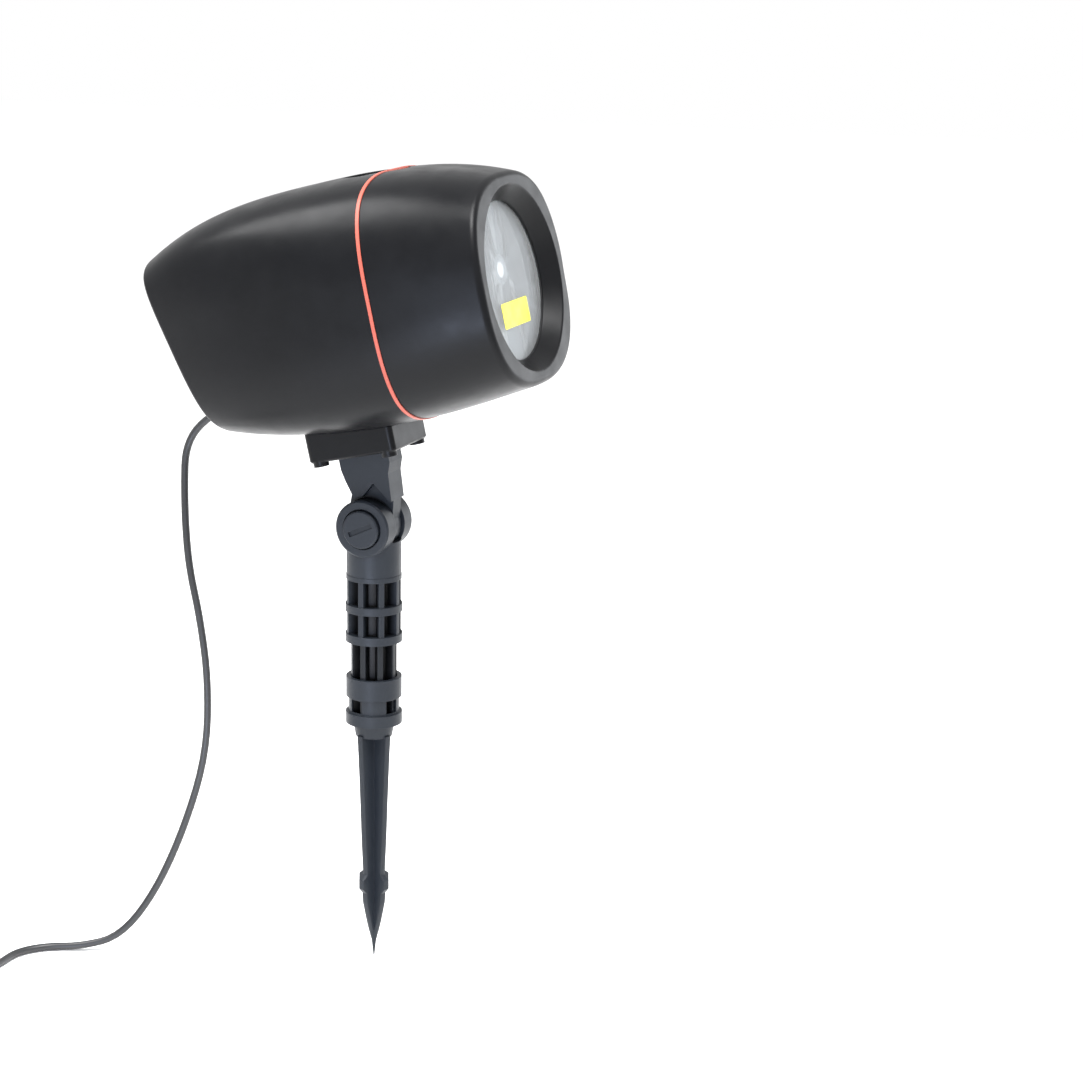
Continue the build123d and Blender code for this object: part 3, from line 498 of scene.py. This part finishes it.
low_corner, high_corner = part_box("aperture_lens")
LENS_T, CORE_R = 0.004, 0.0034           # thickness of the lens, and radius of its bright core
lens_face = (Vector(low_corner) + Vector(high_corner)) / 2 + BEAM * LENS_T / 2
SLATE = (0.0125, 0.0155, 0.0205)
finish = {
    "casing_plastic": moulded("casing_plastic", (0.0034, 0.0036, 0.0044), 0.34, depth=0.00002,
                              rounding=0.0008, specular=0.14),
    "slate_plastic": moulded("slate_plastic", SLATE, 0.40, specular=0.20),
    "band_plastic": moulded("band_plastic", (0.36, 0.075, 0.052), 0.42, rounding=0.0003,
                            specular=0.3),
    "smoked_plastic": moulded("smoked_plastic", (0.006, 0.006, 0.008), 0.22, grain=1400,
                              depth=0.00001, coat=0.3, coat_rough=0.1),
    "sensor_epoxy": moulded("sensor_epoxy", (0.32, 0.12, 0.03), 0.15, coat=0.6, coat_rough=0.05),
    "circuit_board": board("circuit_board"),
    "seal_rubber": moulded("seal_rubber", (0.006, 0.006, 0.007), 0.7, grain=1500),
    "lead_sheath": moulded("lead_sheath", (0.014, 0.0145, 0.016), 0.42, grain=1800, rounding=0),
    "clear_glass": clear("clear_glass", (0.9, 0.93, 0.95), 0.02, 0.03),
    "label_film": label_film("label_film"),
    "plate_plastic": moulded("plate_plastic", (0.33, 0.36, 0.39), 0.5, grain=1200, spread=0.14),
    "lens_glass": lamp_lens("lens_glass", lens_face, CORE_R),
    "black_plastic": moulded("black_plastic", (0.01, 0.01, 0.011), 0.5),
    "bracket_metal": metal("bracket_metal", (0.50, 0.51, 0.53), 0.35),
    "sink_metal": metal("sink_metal", (0.62, 0.63, 0.65), 0.3),
    "laser_brass": metal("laser_brass", (0.62, 0.45, 0.18), 0.28),
    "grating_film": clear("grating_film", (0.8, 0.86, 0.95), 0.05, 0.15),
    "screw_steel": metal("screw_steel", (0.48, 0.49, 0.51), 0.3),
    "component_black": moulded("component_black", (0.012, 0.012, 0.013), 0.45),
    "button_rubber": moulded("button_rubber", (0.02, 0.02, 0.022), 0.6, grain=1500),
    "nylon": moulded("nylon", (0.62, 0.60, 0.54), 0.45),
    "connector_plastic": moulded("connector_plastic", (0.014, 0.0145, 0.016), 0.35),
    "contact_metal": metal("contact_metal", (0.66, 0.66, 0.68), 0.18, stretch=(1, 14, 1)),
}
slot_of = {part["node"]: part["material_slot"] for part in frame["record"]["subparts"]}
# The upper post gets painted shade: its pockets, near its axis, are coloured darker.
post_finish_with_painted_shade = with_painted_pocket_shade(
    "slate_painted_pocket_shade", SLATE, 0.40, pocket_shade_colour=(0.0012, 0.0014, 0.0018), specular=0.20)
for node, piece in frame["nodes"].items():
    for held in piece.material_slots:
        held.material = post_finish_with_painted_shade if node == "upper_post" else finish[slot_of[node]]
for piece in (lead, relief):
    piece.data.materials.append(finish["lead_sheath"])
tie.data.materials.append(finish["black_plastic"])
label.data.materials.append(finish["label_film"])

# ---- Floor and light ---------------------------------------------------------------------
floor_mesh = bpy.data.meshes.new("floor")
floor_shape = bmesh.new()
bmesh.ops.create_grid(floor_shape, x_segments=8, y_segments=8, size=4)
floor_shape.to_mesh(floor_mesh)
floor_shape.free()
floor = bpy.data.objects.new("floor", floor_mesh)
scene.collection.objects.link(floor)
floor.location.z = -0.0002       # clear of what lies on the ground
paper = Nodes("floor_paper")
speck = paper.noise(300, 2)
paper.join(paper.tint(speck, (0.985, 0.985, 0.985), (0.995, 0.995, 0.995)),
           paper.shader.inputs["Base Color"])
paper.shader.inputs["Roughness"].default_value = 0.9
paper.shader.inputs["Specular IOR Level"].default_value = 0.1
floor_mesh.materials.append(paper.material)

world = bpy.data.worlds.new("world")
scene.world = world
world.use_nodes = True
world.node_tree.nodes["Background"].inputs["Color"].default_value = (1, 1, 1, 1)
world.node_tree.nodes["Background"].inputs["Strength"].default_value = 1.0


def softbox(name, place, target, size, power, colour=(1, 1, 1)):
    """A square area light that faces a point."""
    data = bpy.data.lights.new(name, "AREA")
    data.shape = "SQUARE"
    data.size = size
    data.energy = power
    data.color = colour
    light = bpy.data.objects.new(name, data)
    scene.collection.objects.link(light)
    light.location = place
    light.rotation_euler = (Vector(target) - Vector(place)).to_track_quat("-Z", "Y").to_euler()


softbox("key", (0.42, -0.30, 1.25), (0.03, 0.0, 0.34), 0.55, 24)
softbox("top_rear", (-0.55, -0.35, 1.15), (-0.05, 0.0, 0.34), 0.7, 20)
softbox("rim", (0.62, 1.06, 0.34), (0.07, 0.0, 0.32), 0.6, 3.5, (0.93, 0.96, 1.0))
softbox("low", (0.10, -0.85, 0.03), (0.0, 0.0, 0.27), 0.35, 6, (0.66, 0.76, 1.0))
